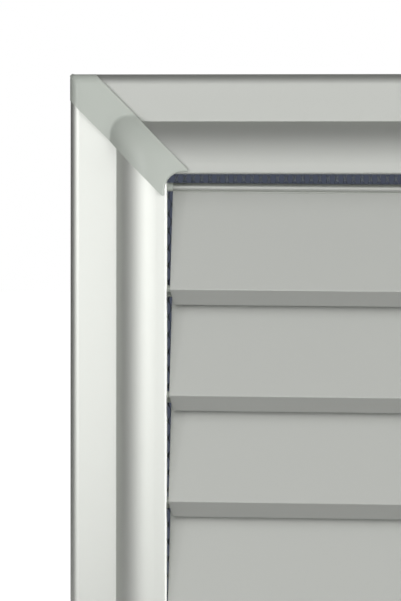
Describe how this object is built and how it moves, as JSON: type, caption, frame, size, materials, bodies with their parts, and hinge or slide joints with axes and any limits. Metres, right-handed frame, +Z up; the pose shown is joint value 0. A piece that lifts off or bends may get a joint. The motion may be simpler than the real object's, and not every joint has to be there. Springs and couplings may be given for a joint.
{
  "type": "ventilation grille",
  "caption": "Rectangular wall ventilation grille: bead-edged frame with moulded corner pieces, fixed overlapping blades with drip lips and an expanded metal guard behind.",
  "frame": {"origin": "middle of the plane that lies on the wall", "axes": "+Z up, front toward -Y, +Y into the wall"},
  "size_m": [0.4, 0.0245, 0.412],
  "materials": {
    "aluminium": "satin, clear anodised",
    "corner_plastic": "moulded, slight sheen",
    "zinc_steel": "zinc plated",
    "guard_steel": "dull zinc"
  },
  "bodies": {
    "root": {"frame_top": "aluminium", "frame_bottom": "aluminium", "frame_left": "aluminium", "frame_right": "aluminium", "blade_1": "aluminium", "blade_2": "aluminium", "blade_3": "aluminium", "blade_4": "aluminium", "blade_5": "aluminium", "blade_6": "aluminium", "rail_left": "aluminium", "rail_right": "aluminium", "rail_top": "aluminium", "rail_bottom": "aluminium", "corner_top_left": "corner_plastic", "corner_top_right": "corner_plastic", "corner_bottom_left": "corner_plastic", "corner_bottom_right": "corner_plastic", "blade_sleeves": "corner_plastic", "key_top_left": "zinc_steel", "key_top_right": "zinc_steel", "key_bottom_left": "zinc_steel", "key_bottom_right": "zinc_steel", "blade_screws": "zinc_steel", "retainer_left": "zinc_steel", "retainer_right": "zinc_steel", "retainer_top": "zinc_steel", "retainer_bottom": "zinc_steel", "retainer_screws": "zinc_steel", "guard_mesh": "guard_steel"}
  },
  "joints": []
}
